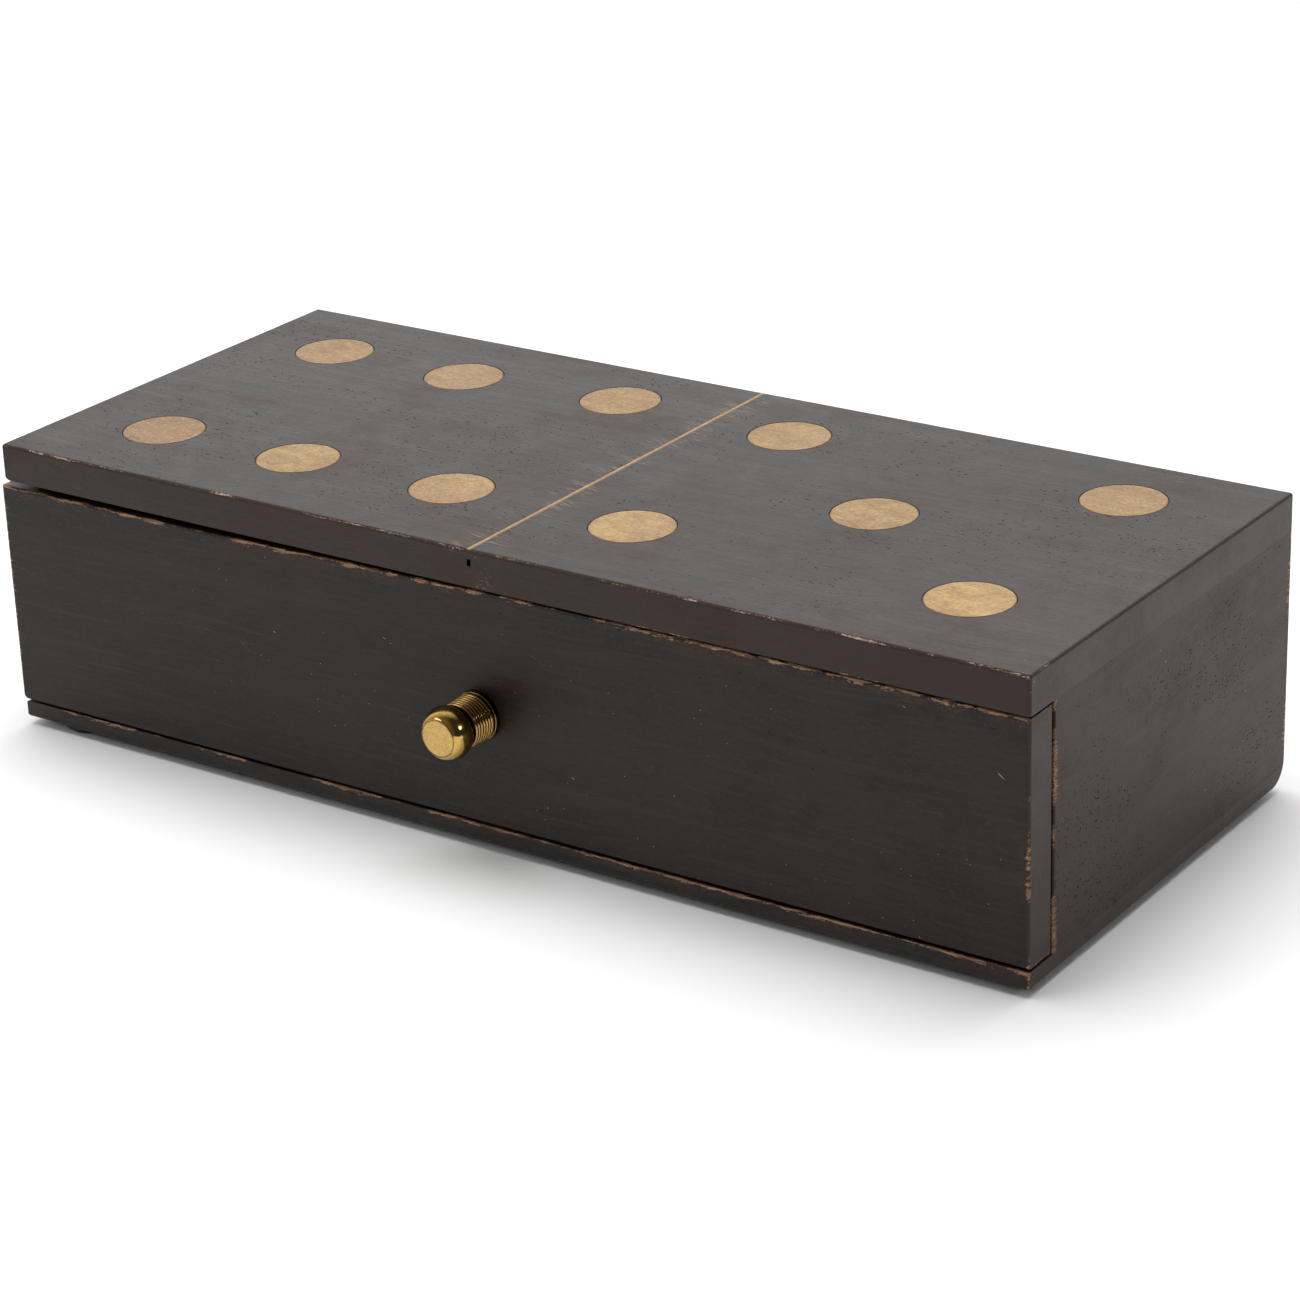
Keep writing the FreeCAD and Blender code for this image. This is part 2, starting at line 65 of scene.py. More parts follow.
class Graph:
    """A material's node tree, built up by short calls that return output sockets."""

    def __init__(self, name):
        self.material = bpy.data.materials.new(name)
        self.material.use_nodes = True
        self.tree = self.material.node_tree
        self.tree.nodes.clear()
        self.shader = self.add("ShaderNodeBsdfPrincipled")
        output = self.add("ShaderNodeOutputMaterial")
        self.tree.links.new(self.shader.outputs["BSDF"], output.inputs["Surface"])
        coordinates = self.add("ShaderNodeTexCoord")
        self.generated = coordinates.outputs["Generated"]
        self.place = self.vector("SCALE", coordinates.outputs["Object"], scale=1 / MM)

    def add(self, kind):
        return self.tree.nodes.new(kind)

    def plug(self, socket, value):
        if isinstance(value, bpy.types.NodeSocket):
            self.tree.links.new(value, socket)
        elif value is not None:
            socket.default_value = value

    def math(self, operation, a, b=None, clamp=False):
        node = self.add("ShaderNodeMath")
        node.operation = operation
        node.use_clamp = clamp
        self.plug(node.inputs[0], a)
        self.plug(node.inputs[1], b)
        return node.outputs[0]

    def chain(self, operation, values):
        total = values[0]
        for value in values[1:]:
            total = self.math(operation, total, value)
        return total

    def times(self, *values):
        return self.chain("MULTIPLY", values)

    def plus(self, *values):
        return self.chain("ADD", values)

    def minus(self, a, b):
        return self.math("SUBTRACT", a, b)

    def most(self, *values):
        return self.chain("MAXIMUM", values)

    def least(self, *values):
        return self.chain("MINIMUM", values)

    def vector(self, operation, a, b=None, scale=None):
        node = self.add("ShaderNodeVectorMath")
        node.operation = operation
        self.plug(node.inputs[0], a)
        self.plug(node.inputs[1], b)
        self.plug(node.inputs[3], scale)
        return node.outputs["Vector"]

    def length(self, *values):
        squares = [self.times(value, value) for value in values]
        return self.math("SQRT", self.plus(*squares))

    def split(self, vector):
        node = self.add("ShaderNodeSeparateXYZ")
        self.plug(node.inputs[0], vector)
        return node.outputs["X"], node.outputs["Y"], node.outputs["Z"]

    def join(self, x, y, z):
        node = self.add("ShaderNodeCombineXYZ")
        for socket, value in zip(node.inputs, (x, y, z)):
            self.plug(socket, value)
        return node.outputs[0]

    def turn(self, vector, angles):
        node = self.add("ShaderNodeVectorRotate")
        node.rotation_type = "EULER_XYZ"
        self.plug(node.inputs["Vector"], vector)
        self.plug(node.inputs["Rotation"], tuple(math.radians(a) for a in angles))
        return node.outputs[0]

    def noise(self, vector, size, detail=3.0, roughness=0.5):
        """Noise from 0 to 1 whose features are about size mm, one number or one per axis."""
        if isinstance(size, (int, float)):
            size = (size, size, size)
        node = self.add("ShaderNodeTexNoise")
        self.plug(node.inputs["Vector"], self.vector("DIVIDE", vector, size))
        node.inputs["Scale"].default_value = 1.0
        node.inputs["Detail"].default_value = detail
        node.inputs["Roughness"].default_value = roughness
        return node.outputs["Fac"]

    def flecks(self, vector, size, radius, share):
        """Scattered flecks: a share of the cells of that size holds a fleck of that radius."""
        node = self.add("ShaderNodeTexVoronoi")
        self.plug(node.inputs["Vector"], self.vector("DIVIDE", vector, size))
        node.inputs["Scale"].default_value = 1.0
        node.inputs["Randomness"].default_value = 1.0
        chance, _, _ = self.split(node.outputs["Color"])
        inside = self.step(node.outputs["Distance"], radius * 0.65, radius, (1.0, 0.0))
        return self.times(inside, self.step(chance, 1 - share, 1.001 - share))

    def step(self, value, low, high, to=(0.0, 1.0)):
        """Value carried smoothly from the range low to high over to another range."""
        node = self.add("ShaderNodeMapRange")
        node.interpolation_type = "SMOOTHSTEP"
        self.plug(node.inputs["Value"], value)
        self.plug(node.inputs["From Min"], low)
        self.plug(node.inputs["From Max"], high)
        self.plug(node.inputs["To Min"], to[0])
        self.plug(node.inputs["To Max"], to[1])
        return node.outputs["Result"]

    def mix(self, share, a, b):
        """Colour a turning to colour b."""
        node = self.add("ShaderNodeMix")
        node.data_type = "RGBA"
        self.plug(node.inputs[0], share)
        self.plug(node.inputs[6], a)
        self.plug(node.inputs[7], b)
        return node.outputs[2]

    def bump(self, height, depth_mm, under=None):
        node = self.add("ShaderNodeBump")
        node.inputs["Strength"].default_value = 1.0
        node.inputs["Distance"].default_value = depth_mm * MM
        self.plug(node.inputs["Height"], height)
        if under is not None:
            self.plug(node.inputs["Normal"], under)
        return node.outputs[0]

    def finish(self, **inputs):
        for name, value in inputs.items():
            label = name.replace("_", " ").title().replace("Ior", "IOR")
            self.plug(self.shader.inputs[label], value)
        return self.material


def colour(red, green, blue):
    return (red, green, blue, 1.0)


# ---- Wood -------------------------------------------------------------------------------------

STAINED = {
    "dark": colour(0.0085, 0.0072, 0.0056),
    "mid": colour(0.0150, 0.0118, 0.0088),
    "red": colour(0.0290, 0.0130, 0.0090),
    "light": colour(0.0380, 0.0270, 0.0190),
    "pore": colour(0.0020, 0.0014, 0.0012),
    "rust": colour(0.0400, 0.0210, 0.0130),
    "thin": colour(0.0750, 0.0270, 0.0130),
    "bare": colour(0.430, 0.265, 0.150),
    "bare_dark": colour(0.170, 0.078, 0.038),
    "scratch": colour(0.420, 0.370, 0.320),
}
STAINED_FRONT = dict(STAINED, dark=colour(0.0080, 0.0064, 0.0052),
                     mid=colour(0.0135, 0.0108, 0.0086), red=colour(0.0250, 0.0122, 0.0088))
# The top board's arrises are rubbed to a paler, pinker wood than the rest; the pale pink specks along
# its front top arris are partly a painted highlight
STAINED_TOP = dict(STAINED, bare=colour(0.500, 0.375, 0.295), bare_dark=colour(0.240, 0.140, 0.098),
                   blush=colour(0.0300, 0.0165, 0.0150))
UNSTAINED = {
    "dark": colour(0.155, 0.082, 0.040),
    "mid": colour(0.225, 0.128, 0.066),
    "red": colour(0.205, 0.098, 0.045),
    "light": colour(0.300, 0.185, 0.102),
    "pore": colour(0.050, 0.024, 0.012),
    "rust": colour(0.250, 0.130, 0.060),
    "thin": colour(0.280, 0.165, 0.088),
    "bare": colour(0.360, 0.220, 0.120),
    "bare_dark": colour(0.250, 0.140, 0.070),
    "scratch": colour(0.400, 0.300, 0.200),
}

# How ragged a rubbed edge is: size of the strokes along the grain and across it (mm)
PLAIN_STROKES = (5.0, 1.0, 1.0)
LONG_STROKES = (9.0, 0.8, 0.8)
SHORT_STROKES = (2.6, 0.8, 0.8)
COMBED_STROKES = (6.0, 0.26, 0.26)


def along_grain(g, axis, seed):
    """Place with the grain's direction first, moved by seed and wandering a little."""
    x, y, z = g.split(g.place)
    first = {"x": (x, y, z), "y": (y, x, z), "z": (z, x, y)}[axis]
    straight = g.vector("ADD", g.join(*first), (seed * 37.0, seed * 11.0, seed * 5.0))
    sway = g.noise(straight, (90, 40, 40), detail=1)
    shift = g.times(g.minus(sway, 0.5), 9.0)
    return g.vector("ADD", straight, g.join(0.0, shift, shift))


def open_pores(g, grain, share, width):
    """Short dark pores along the grain, in loose clusters; width is that of their cells."""
    bend = g.times(g.minus(g.noise(grain, 3.5, detail=1), 0.5), 0.9)
    bent = g.vector("ADD", grain, g.join(0.0, bend, bend))
    clusters = g.step(g.noise(grain, (44, 22, 22), detail=3), 0.47, 0.58)
    long_ones = g.flecks(bent, (4.5, width, width), 0.19, 0.20 * share)
    apart = g.vector("ADD", bent, (19.0, 3.0, 8.0))
    short_ones = g.flecks(apart, (1.2, width, width), 0.25, 0.24 * share)
    apart = g.vector("ADD", bent, (7.0, 21.0, 2.0))
    lone_ones = g.flecks(apart, (1.5, width, width), 0.22, 0.03 * share)
    return g.most(g.times(g.most(long_ones, short_ones), clusters), lone_ones)


def light_scratches(g, share):
    """A few thin scratches at two slants, and small strokes and chips in clusters."""
    long_ones = g.flecks(g.turn(g.place, (0, -38, 0)), (25.0, 2.2, 2.2), 0.052, 0.07 * share)
    where = g.step(g.noise(g.place, 40, detail=1), 0.48, 0.56)
    flat = g.flecks(g.turn(g.place, (0, -24, 0)), (7.0, 1.5, 1.5), 0.075, 0.09 * share)
    steep = g.flecks(g.turn(g.place, (62, 78, 0)), (6.0, 1.5, 1.5), 0.075, 0.09 * share)
    chips = g.flecks(g.place, (1.5, 1.5, 1.5), 0.090, 0.09 * share)
    return g.most(long_ones, g.times(g.most(flat, steep, chips), where))


def side_gap(g, box, side, drop=0.0):
    """Millimetres in from one side of the box, such as "y-"; a drop lowers a z side."""
    axis = "xyz".index(side[0])
    limit = (box[0] if side[1] == "-" else box[1])[axis] / MM
    if side[0] == "z":
        limit = g.minus(limit, drop)
    return g.math("ABSOLUTE", g.minus(g.split(g.place)[axis], limit))


def edge_gap(g, box, sides, drop=0.0):
    """Millimetres from the edge where two sides of the box meet, such as "y-z+"."""
    return g.length(side_gap(g, box, sides[:2], drop), side_gap(g, box, sides[2:], drop))


def rubbed_edge(g, grain, gap, width, cover, strokes):
    """How far an edge is rubbed bare, and how far the stain beside it is thinned.

    The bare line is about width millimetres wide over about a share cover of the edge.
    """
    where = g.noise(g.place, 15, detail=3)
    ragged = g.noise(grain, strokes, detail=4, roughness=0.75)
    gritty = g.noise(g.place, 0.55, detail=2)
    start = 0.66 - 0.40 * cover
    patch = g.step(where, start, start + 0.16)
    reach = g.times(width, patch, g.step(ragged, 0.34, 0.66, (0.10, 1.8)))
    frayed = g.plus(reach, g.times(g.minus(gritty, 0.5), 0.95))
    bare = g.times(g.step(g.minus(frayed, gap), -0.05, 0.22), g.step(reach, 0.02, 0.12))
    near = g.step(g.minus(g.times(reach, 3.6), gap), 0.0, 1.4)
    return bare, g.times(near, g.step(gritty, 0.46, 0.60))


def strip_smears(g):
    """Thin slanting streaks beside the divider strip."""
    low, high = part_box("divider_strip")
    x, _, _ = g.split(g.place)
    away = g.math("ABSOLUTE", g.minus(x, (low.x + high.x) / 2 / MM))
    strokes = g.noise(g.turn(g.place, (0, 0, 14)), (5, 0.45, 0.45), detail=2)
    where = g.noise(g.place, 11, detail=1)
    near = g.step(away, 0.6, 8.0, (0.8, 0.0))
    return g.times(near, g.step(strokes, 0.55, 0.67), g.step(where, 0.44, 0.58))


def corner_blush(g):
    """The top board's front right corner, where the stain is redder and the pores are filled."""
    low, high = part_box("top_board")
    x, y, _ = g.split(g.place)
    away = g.length(g.minus(x, high.x / MM), g.minus(y, low.y / MM))
    ragged = g.plus(away, g.times(g.minus(g.noise(g.place, 22, detail=3), 0.5), 60.0))
    return g.step(ragged, 35.0, 85.0, (1.0, 0.0))


def planed_drop(g):
    """How far the drawer front's top edge lies below its highest part."""
    x, _, _ = g.split(g.place)
    span = PLANED_FROM_X - PLANED_TO_X
    share = g.math("DIVIDE", g.minus(PLANED_FROM_X, x), span, clamp=True)
    return g.times(share, PLANED_DEPTH)


def rusty_sides(g, box, sides):
    """Sides of a board where the stain took thinly and the wood's red-brown shows."""
    if not sides:
        return 0.0
    return g.step(g.least(*(side_gap(g, box, side) for side in sides)), 0.35, 0.75, (1.0, 0.0))


def worn_edges(g, grain, box, worn, drop):
    """Bare and thinned shares over all the worn edges: each as sides, width, cover and strokes."""
    bare, thinned = 0.0, 0.0
    for sides, width, cover, *strokes in worn:
        gap = all_edges_gap(g, box) if sides == "all" else edge_gap(g, box, sides, drop)
        ragged = strokes[0] if strokes else PLAIN_STROKES
        rubbed, near = rubbed_edge(g, grain, gap, width, cover, ragged)
        bare = g.most(bare, rubbed)
        thinned = g.most(thinned, near)
    return bare, thinned


def all_edges_gap(g, box):
    """Millimetres to the nearest edge of a block, from its generated coordinates."""
    size = (box[1] - box[0]) / MM
    x, y, z = (g.times(g.least(share, g.minus(1.0, share)), length)
               for share, length in zip(g.split(g.generated), size))
    return g.most(g.least(x, y), g.least(g.most(x, y), z))


def wood(name, box, worn=(), axis="x", seed=0.0, palette=STAINED, rough=0.38, specular=0.45,
         pores=1.0, pore_width=0.8, closed=None, scratched=0.0, rusty=(), drop=None, smeared=None,
         blushed=None):
    """Open-grained wood under stain and thin wax, rubbed back to bare wood along its edges; on the
    top board's front top arris the pale rubbed specks are partly a painted highlight.

    The closed side shows no pores. smeared(g) marks where bare streaks were left by sanding an
    inlay flush, and blushed(g) where the stain is redder and the pores are filled.
    """
    g = Graph(name)
    grain = along_grain(g, axis, seed)

    patches = g.noise(g.place, 34, detail=3, roughness=0.55)
    blotches = g.noise(g.place, 8, detail=4, roughness=0.65)
    bands = g.noise(grain, (220, 12, 12), detail=3, roughness=0.55)
    streaks = g.noise(grain, (60, 3.0, 3.0), detail=2, roughness=0.5)
    fibres = g.noise(grain, (26, 0.8, 0.8), detail=3, roughness=0.6)
    fine = g.noise(grain, (6, 0.30, 0.30), detail=2, roughness=0.6)
    gritty = g.noise(grain, (1.3, 0.7, 0.7), detail=2, roughness=0.6)

    tone = g.mix(g.step(bands, 0.35, 0.68), palette["dark"], palette["mid"])
    taken = g.plus(g.step(blotches, 0.25, 0.65, (0.35, 0.65)),
                   g.step(patches, 0.35, 0.6, (0.0, 0.30)))
    tone = g.mix(g.times(rusty_sides(g, box, rusty), taken), tone, palette["rust"])
    reddened = g.step(patches, 0.46, 0.62)
    tone = g.mix(g.times(reddened, 0.75), tone, palette["red"])
    tone = g.mix(g.times(g.step(blotches, 0.52, 0.68), 0.35), tone, palette["red"])
    tone = g.mix(g.times(g.step(streaks, 0.50, 0.74), 0.35), tone, palette["light"])
    tone = g.mix(g.times(g.step(fibres, 0.50, 0.74), 0.45), tone, palette["light"])
    tone = g.mix(g.times(g.step(gritty, 0.54, 0.70), 0.45), tone, palette["light"])
    tone = g.mix(g.times(g.step(fine, 0.30, 0.46, (1.0, 0.0)), 0.50), tone, palette["dark"])

    holes = open_pores(g, grain, pores, pore_width)
    if closed:
        holes = g.times(holes, g.step(side_gap(g, box, closed), 0.5, 0.9))
    if blushed:
        blush = blushed(g)
        holes = g.times(holes, g.minus(1.0, g.times(blush, 0.85)))
        tone = g.mix(g.times(blush, 0.75), tone, palette["blush"])
    tone = g.mix(g.times(holes, 0.80), tone, palette["pore"])
    if smeared:
        tone = g.mix(smeared(g), tone, palette["bare_dark"])

    bare, thinned = worn_edges(g, grain, box, worn, drop(g) if drop else 0.0)
    bare_tone = g.mix(g.step(fine, 0.38, 0.60), palette["bare_dark"], palette["bare"])
    tone = g.mix(g.times(thinned, 0.60), tone, palette["thin"])
    # Rubbed bare wood along the edges; with the top board's pale palette, its front top arris specks
    # are partly a painted highlight
    tone = g.mix(g.times(bare, 0.85), tone, bare_tone)

    if scratched:
        tone = g.mix(g.times(light_scratches(g, scratched), 0.75), tone, palette["scratch"])

    gloss = g.step(blotches, 0.3, 0.7, (rough - 0.025, rough + 0.025))
    gloss = g.plus(gloss, g.times(reddened, 0.05), g.times(g.minus(streaks, 0.5), 0.16),
                   g.times(g.minus(fibres, 0.5), 0.14), g.times(g.minus(gritty, 0.5), 0.20))
    gloss = g.plus(gloss, g.times(holes, 0.45))
    gloss = g.math("ADD", gloss, g.times(bare, 0.25), clamp=True)

    swell = g.bump(g.noise(grain, (90, 30, 30), detail=1), 0.35)
    lines = g.bump(g.plus(fibres, g.times(fine, 0.7), gritty), 0.028, swell)
    pits = g.bump(g.times(holes, -1.0), 0.08, lines)
    dents = g.bump(g.times(g.minus(bare, g.times(bare, fine)), -1.0), 0.08, pits)
    g.shader.inputs["Specular IOR Level"].default_value = specular
    return g.finish(base_color=tone, roughness=gloss, normal=dents)


# ---- Metal and rubber -------------------------------------------------------------------------

def inlay_brass(name, seed=0.0, yellow=0.5, rim="round"):
    """Brass sanded flush with the wood and left to age: sanding lines, blooms and a brown rim.

    yellow goes from 0 for a dull pinkish piece to 1 for a bright one. The rim is "round" for a
    disc, or the box of a strip whose x+ side is brown.
    """
    g = Graph(name)
    place = g.vector("ADD", g.place, (seed * 13.0, seed * 29.0, 0.0))
    sanding = g.noise(g.turn(place, (0, 0, -52)), (7, 0.26, 0.26), detail=3, roughness=0.6)
    cross = g.noise(g.turn(place, (0, 0, 17)), (7, 0.24, 0.24), detail=2)
    bloom = g.noise(place, (8.0, 4.0, 4.0), detail=5, roughness=0.68)
    mottle = g.noise(place, 0.75, detail=3, roughness=0.65)
    cloud = g.noise(place, 13, detail=1)
    scored = g.flecks(g.turn(place, (0, 0, -47)), (11.0, 1.5, 1.5), 0.075, 0.45)
    where = g.step(g.noise(place, 9, detail=1), 0.42, 0.58)

    full = g.mix(yellow, colour(0.350, 0.215, 0.115), colour(0.615, 0.432, 0.188))
    dull = g.mix(yellow, colour(0.285, 0.166, 0.088), colour(0.460, 0.290, 0.128))
    tone = g.mix(g.step(bloom, 0.36, 0.66), full, dull)
    tone = g.mix(g.times(g.step(cloud, 0.42, 0.66), 0.5), tone, colour(0.420, 0.262, 0.150))
    tone = g.mix(g.times(g.step(mottle, 0.50, 0.68), 0.42), tone, colour(0.260, 0.150, 0.070))
    tone = g.mix(g.times(g.step(mottle, 0.34, 0.47, (1.0, 0.0)), 0.40), tone,
                 colour(0.700, 0.520, 0.270))
    tone = g.mix(g.times(g.step(sanding, 0.52, 0.68), 0.55), tone, colour(0.240, 0.145, 0.070))
    tone = g.mix(g.times(scored, where, 0.75), tone, colour(0.150, 0.085, 0.040))
    rough = g.step(cross, 0.3, 0.7, (0.40, 0.55))
    if rim == "round":
        x, y, _ = g.split(g.vector("SUBTRACT", g.generated, (0.5, 0.5, 0.5)))
        worn_rim = g.plus(g.length(x, y), g.times(g.minus(bloom, 0.5), 0.04))
        brown = g.step(worn_rim, 0.474, 0.496)
        rim_tone = colour(0.130, 0.062, 0.024)
    else:
        frayed = g.plus(side_gap(g, rim, "x+"), g.times(g.minus(bloom, 0.5), 0.3))
        brown = g.step(frayed, 0.42, 0.62, (1.0, 0.0))
        rim_tone = colour(0.270, 0.135, 0.054)
    tone = g.mix(g.times(brown, 0.75), tone, rim_tone)
    lines = g.bump(g.plus(sanding, cross, mottle, g.times(scored, where, -1.5)), 0.014)
    dish = g.bump(bloom, 0.06, lines)
    return g.finish(base_color=tone, metallic=1.0, roughness=rough, normal=dish)


def knob_brass(name, node):
    """Turned brass: polished, brushed on its face, with brown patina in its bead grooves, near-black
    painted shade in its neck, painted shade with patina on its base ring, and a painted shadow line
    round its face.
    """
    g = Graph(name)
    low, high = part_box(node)
    centre = (low + high) / 2 / MM
    base_y = high.y / MM
    x, _, z = g.split(g.vector("SUBTRACT", g.place, tuple(centre)))
    radius = g.length(x, z)
    _, place_y, _ = g.split(g.place)
    reach = g.minus(base_y, place_y)

    cloud = g.noise(g.place, 2.6, detail=4, roughness=0.6)
    specks = g.noise(g.place, 0.5, detail=3)
    tone = g.mix(g.step(cloud, 0.35, 0.7), colour(0.600, 0.400, 0.115), colour(0.470, 0.290, 0.072))
    tone = g.mix(g.times(g.step(specks, 0.55, 0.72), 0.35), tone, colour(0.330, 0.190, 0.055))

    barrel = g.times(g.step(reach, *BARREL_START), g.step(reach, *BARREL_END, (1.0, 0.0)))
    tone = g.mix(g.times(barrel, 0.65), tone, colour(0.360, 0.205, 0.075))
    # Near-black brown below: patina in the bead valleys, painted shade in the neck under the head,
    # and painted shade with patina on the base ring against the drawer front
    crest = g.minus(BEAD_CREST_RADIUS, g.times(reach, BEAD_TAPER))
    valleys = g.times(barrel, g.step(g.minus(crest, radius), 0.05, 0.20))
    neck = g.times(g.step(reach, *NECK_START), g.step(reach, *NECK_END, (1.0, 0.0)))
    base_ring = g.step(reach, *BASE_RING_END, (1.0, 0.0))
    patina_and_painted_shade = g.most(g.times(valleys, 0.85), g.times(neck, 0.85), g.times(base_ring, 0.92))
    tone = g.mix(patina_and_painted_shade, tone, colour(0.045, 0.022, 0.008))

    on_face = g.step(reach, *FACE_START)
    tone = g.mix(g.times(on_face, 0.60), tone, colour(0.620, 0.420, 0.170))
    scoured = g.noise(g.turn(g.place, (0, -28, 0)), (2.2, 0.32, 0.32), detail=3, roughness=0.65)
    tone = g.mix(g.times(on_face, g.step(scoured, 0.48, 0.66), 0.60), tone,
                 colour(0.360, 0.215, 0.080))
    tone = g.mix(g.times(on_face, g.step(specks, 0.50, 0.64), 0.40), tone,
                 colour(0.300, 0.170, 0.065))
    # Painted shadow line: a thin brown ring darkened into the face at its rim
    face_edge_shadow = g.times(on_face, g.step(radius, *FACE_RIM_RADIUS))
    tone = g.mix(g.times(face_edge_shadow, 0.55), tone, colour(0.220, 0.120, 0.040))
    rings = g.noise(g.join(radius, 0.0, 0.0), 0.11, detail=2)
    lathe = g.noise(g.join(reach, 0.0, 0.0), 0.16, detail=2)
    rough = g.step(cloud, 0.3, 0.7, (0.10, 0.18))
    rough = g.plus(rough, g.times(on_face, 0.24))
    rough = g.math("ADD", rough, g.times(patina_and_painted_shade, 0.12), clamp=True)
    turning = g.bump(g.times(lathe, g.minus(1.0, on_face)), 0.003)
    face = g.bump(g.times(g.plus(rings, g.times(scoured, 2.0), specks), on_face), 0.022, turning)
    return g.finish(base_color=tone, metallic=1.0, roughness=rough, normal=face)


def zinc(name):
    g = Graph(name)
    cloud = g.noise(g.place, 1.2, detail=3)
    tone = g.mix(g.step(cloud, 0.35, 0.7), colour(0.56, 0.56, 0.54), colour(0.42, 0.41, 0.37))
    return g.finish(base_color=tone, metallic=1.0, roughness=g.step(cloud, 0.3, 0.7, (0.28, 0.42)),
                    normal=g.bump(g.noise(g.place, 0.3, detail=2), 0.01))


def rubber(name):
    g = Graph(name)
    dust = g.noise(g.place, 1.5, detail=4, roughness=0.7)
    tone = g.mix(g.step(dust, 0.4, 0.75), colour(0.014, 0.012, 0.011), colour(0.040, 0.034, 0.030))
    return g.finish(base_color=tone, roughness=g.step(dust, 0.3, 0.7, (0.62, 0.8)),
                    normal=g.bump(g.noise(g.place, 0.25, detail=2), 0.02))


def paper_floor(name):
    g = Graph(name)
    cloud = g.noise(g.place, 260, detail=3)
    tone = g.mix(g.step(cloud, 0.3, 0.7), colour(0.86, 0.86, 0.86), colour(0.88, 0.88, 0.88))
    return g.finish(base_color=tone, roughness=0.9, normal=g.bump(g.noise(g.place, 0.8), 0.01))


# ---- Dressing the CAD nodes -------------------------------------------------------------------

def dress(node, material):
    mesh = nodes[node].data
    mesh.materials.clear()
    mesh.materials.append(material)


def dress_case():
    # The front top arris (y-z+) is rubbed to pale pink specks: worn wood, and partly a painted
    # highlight
    top_edges_worn_and_highlit = (("y-z+", 0.32, 0.72, LONG_STROKES), ("x+z+", 0.36, 0.22, SHORT_STROKES),
                ("x+y-", 0.45, 0.30), ("x-y-", 0.60, 0.50), ("x-z+", 0.50, 0.35),
                ("y-z-", 0.32, 0.20), ("y+z+", 0.45, 0.35))
    bottom_worn = (("y-z+", 0.50, 0.70), ("x-y-", 1.10, 0.70), ("y-z-", 0.35, 0.20),
                   ("x+y-", 0.55, 0.45), ("x+z-", 0.40, 0.12), ("x-z-", 0.60, 0.35))
    dress("top_board", wood("wood_top_board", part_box("top_board"), top_edges_worn_and_highlit, "x", 1, STAINED_TOP,
                            rough=0.36, specular=0.24, pores=1.2, pore_width=1.05, closed="y-",
                            scratched=0.4, rusty=("x-", "x+", "y-"), smeared=strip_smears,
                            blushed=corner_blush))
    dress("bottom_board", wood("wood_bottom_board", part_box("bottom_board"), bottom_worn, "x", 2,
                               rough=0.40, specular=0.28, pores=0.3, scratched=0.5,
                               rusty=("x-", "x+")))
    dress("back_board", wood("wood_back_board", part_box("back_board"), (("y+z-", 1.0, 0.4),), "x", 5,
                             rough=0.40, specular=0.26, pores=0.7, scratched=0.8))
    for node, outer in (("side_board_left", "x-"), ("side_board_right", "x+")):
        worn = ((outer + "y-", 1.05, 0.68, COMBED_STROKES), (outer + "y+", 1.30, 0.55))
        dress(node, wood("wood_" + node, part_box(node), worn, "y", 3 if outer == "x-" else 4,
                         rough=0.37, specular=0.175, pores=2.4, pore_width=0.9, scratched=0.9,
                         rusty=(outer, "y-")))


def dress_drawer():
    worn = (("y-z+", 0.60, 0.92), ("x-y-", 0.60, 0.60), ("x+y-", 0.60, 0.50), ("y-z-", 0.35, 0.25),
            ("x+z+", 0.50, 0.50), ("x+z-", 0.50, 0.40), ("x-z+", 1.10, 0.85))
    dress("drawer_front", wood("wood_drawer_front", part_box("drawer_front"), worn, "x", 8,
                               STAINED_FRONT, rough=0.40, specular=0.24, pores=0.05, scratched=1.0,
                               rusty=("x-", "x+"), drop=planed_drop))
    boards = (("drawer_side_left", "y"), ("drawer_side_right", "y"), ("drawer_back", "x"),
              ("drawer_base", "x"))
    for seed, (node, axis) in enumerate(boards, 11):
        dress(node, wood("wood_" + node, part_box(node), (), axis, seed, UNSTAINED, rough=0.52,
                         specular=0.35, pores=0.8))


def dress_dominoes():
    tile_wood = wood("wood_dominoes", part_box("domino_6_6"), (("all", 0.8, 0.45),), "y", 20,
                     rough=0.33, specular=0.30, pores=0.4, scratched=0.4)
    for node in nodes:
        if node.startswith("domino_") and node not in ("domino_pips", "domino_centre_lines"):
            dress(node, tile_wood)


# How yellow and bright each disc is, from 0 to 1
DISC_YELLOW = {
    "pip_six_back_left": 0.35, "pip_six_back_middle": 0.40, "pip_six_back_right": 0.40,
    "pip_six_front_left": 0.05, "pip_six_front_middle": 0.60, "pip_six_front_right": 0.60,
    "pip_five_back_left": 0.60, "pip_five_back_right": 0.45, "pip_five_centre": 0.50,
    "pip_five_front_left": 0.80, "pip_five_front_right": 1.00,
}


def dress_metal():
    for seed, (node, yellow) in enumerate(DISC_YELLOW.items()):
        dress(node, inlay_brass("brass_" + node, seed, yellow))
    dress("divider_strip", inlay_brass("brass_divider_strip", 3, 0.9, rim=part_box("divider_strip")))
    for node in ("domino_pips", "domino_centre_lines"):
        dress(node, inlay_brass("brass_" + node, 5, 0.6, rim=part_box(node)))
    dress("knob", knob_brass("brass_knob", "knob"))
    steel = zinc("zinc_steel")
    dress("knob_washer", steel)
    dress("knob_screw", steel)


def dress_feet():
    material = rubber("foot_rubber")
    for node in nodes:
        if node.startswith("foot_"):
            dress(node, material)


# ---- Floor, light and camera ------------------------------------------------------------------

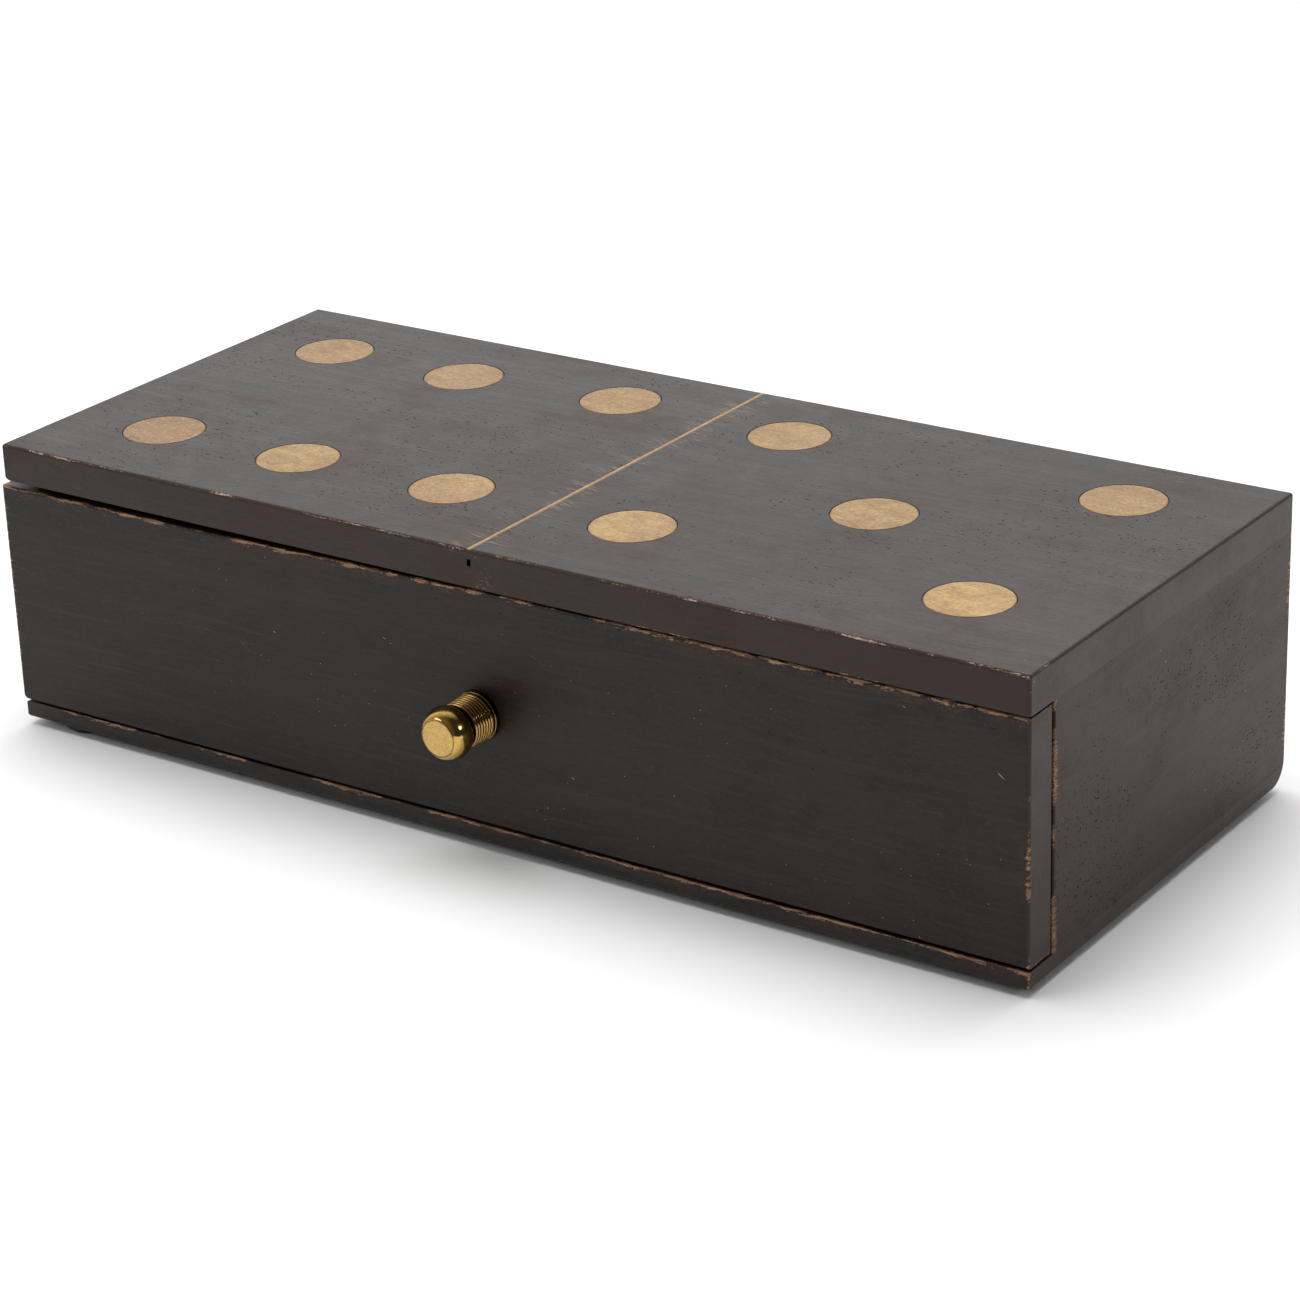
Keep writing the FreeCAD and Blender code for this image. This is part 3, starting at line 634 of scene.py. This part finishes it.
def make_floor():
    half = FLOOR_HALF
    corners = [(-half, -half, 0), (half, -half, 0), (half, half, 0), (-half, half, 0)]
    mesh = bpy.data.meshes.new("floor")
    mesh.from_pydata(corners, [], [(0, 1, 2, 3)])
    floor = bpy.data.objects.new("floor", mesh)
    bpy.context.scene.collection.objects.link(floor)
    mesh.materials.append(paper_floor("floor_paper"))


def area_light(name, place, aim, size, power, mirrored=True):
    """Softbox; one that isn't mirrored lights surfaces without showing as a reflection."""
    light = bpy.data.lights.new(name, "AREA")
    light.shape = "RECTANGLE"
    light.size, light.size_y = size
    light.energy = power
    lamp = bpy.data.objects.new(name, light)
    lamp.location = place
    lamp.rotation_euler = (Vector(aim) - Vector(place)).to_track_quat("-Z", "Y").to_euler()
    lamp.visible_glossy = mirrored
    bpy.context.scene.collection.objects.link(lamp)


def make_world():
    """Studio lit by its walls: bright behind and left, faint in front, dim to the right."""
    world = bpy.data.worlds.new("studio")
    world.use_nodes = True
    tree = world.node_tree
    direction = tree.nodes.new("ShaderNodeTexCoord").outputs["Generated"]
    total = tree.nodes.new("ShaderNodeMath")
    for socket, (towards, *levels) in zip(total.inputs, WALLS):
        facing = tree.nodes.new("ShaderNodeVectorMath")
        facing.operation = "DOT_PRODUCT"
        facing.inputs[1].default_value = Vector(towards).normalized()
        tree.links.new(direction, facing.inputs[0])
        fall = tree.nodes.new("ShaderNodeMapRange")
        fall.interpolation_type = "SMOOTHSTEP"
        tree.links.new(facing.outputs["Value"], fall.inputs["Value"])
        for label, level in zip(("From Min", "From Max", "To Min", "To Max"), levels):
            fall.inputs[label].default_value = level
        tree.links.new(fall.outputs["Result"], socket)
    background = tree.nodes["Background"]
    background.inputs["Color"].default_value = (1.0, 1.0, 1.0, 1.0)
    tree.links.new(total.outputs[0], background.inputs["Strength"])
    bpy.context.scene.world = world


def make_light():
    make_world()
    area_light("softbox_top", (-0.1, 0.1, 1.4), (0, 0, 0.03), (1.4, 1.1), 21.5, mirrored=False)
    area_light("softbox_left", (-0.85, -1.05, 0.85), (0, 0, 0.04), (0.7, 0.5), 3.3)
    area_light("softbox_right", (1.25, 0.10, 0.72), (0, 0, 0.04), (0.22, 0.22), 2.0)


def make_camera():
    """Camera from its angles and place, level along its own horizon but for the roll."""
    azimuth = math.radians(CAMERA_AZIMUTH)
    elevation = math.radians(CAMERA_ELEVATION)
    roll = math.radians(CAMERA_ROLL)
    back = Vector((math.sin(azimuth) * math.cos(elevation),
                   -math.cos(azimuth) * math.cos(elevation),
                   math.sin(elevation)))
    level = Vector((math.cos(azimuth), math.sin(azimuth), 0))
    upright = back.cross(level)
    right = level * math.cos(roll) - upright * math.sin(roll)
    up = upright * math.cos(roll) + level * math.sin(roll)
    data = bpy.data.cameras.new("camera")
    data.sensor_width = SENSOR_WIDTH
    data.lens = CAMERA_LENS
    data.clip_start = 0.05
    camera = bpy.data.objects.new("camera", data)
    turn = Matrix((right, up, back)).transposed().to_4x4()
    camera.matrix_world = Matrix.Translation(Vector(CAMERA_PLACE) * MM) @ turn
    bpy.context.scene.collection.objects.link(camera)
    bpy.context.scene.camera = camera


dress_case()
dress_drawer()
dress_dominoes()
dress_metal()
dress_feet()
make_floor()
make_light()
make_camera()
bpy.context.scene.view_settings.view_transform = "Standard"
